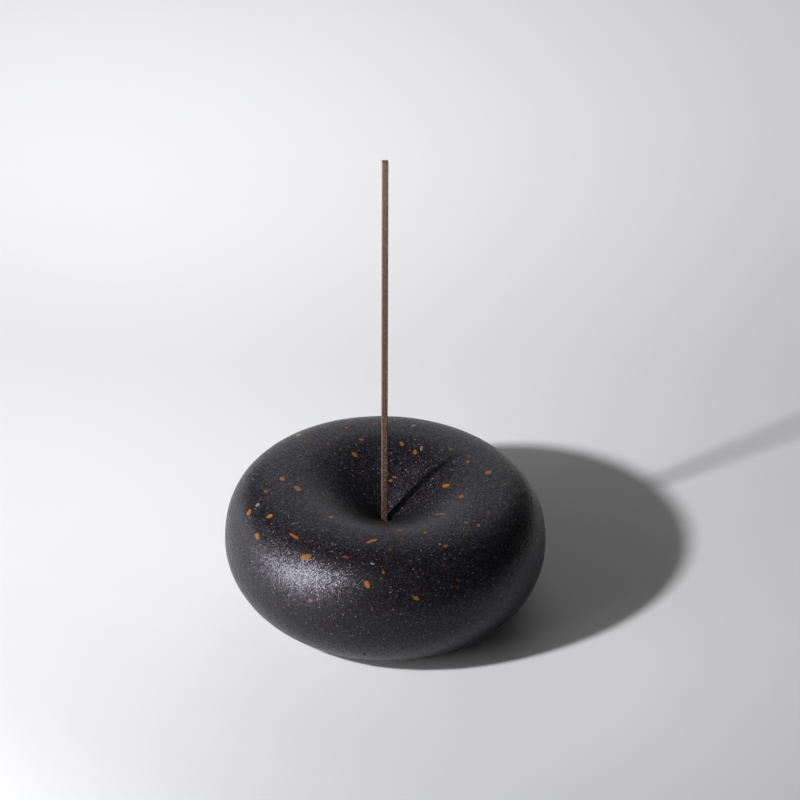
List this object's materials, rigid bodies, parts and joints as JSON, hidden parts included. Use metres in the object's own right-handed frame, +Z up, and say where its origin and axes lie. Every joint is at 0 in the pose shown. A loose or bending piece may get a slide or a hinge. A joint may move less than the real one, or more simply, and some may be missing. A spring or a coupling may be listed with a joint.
{
  "type": "incense burner",
  "caption": "Round black terrazzo incense burner with a smooth funnel-shaped hollow and a blind hole that holds a solid incense stick upright over it.",
  "frame": {"origin": "centre of the footprint, on the surface that the burner stands on", "axes": "+Z up along the body's axis of revolution, +X to the right seen from the front, +Y to the back"},
  "size_m": [0.1016, 0.1016, 0.1556],
  "materials": {
    "black_terrazzo": "honed satin, with fine pale sand showing",
    "amber_chip": "honed satin",
    "rust_chip": "honed satin",
    "pale_chip": "honed satin",
    "cork": "matte, granular",
    "incense_paste": "matte, fine powdery grain"
  },
  "bodies": {
    "burner": {"body": "black_terrazzo", "amber_chips": "amber_chip", "rust_chips": "rust_chip", "pale_chips": "pale_chip", "base_pad": "cork"},
    "stick": {"incense_stick": "incense_paste"}
  },
  "joints": [
    {"name": "stick_lift", "type": "slide", "parent": "burner", "child": "stick", "axis": [-0.0262, 0, 0.9997], "range_m": [0, 0.05]}
  ]
}
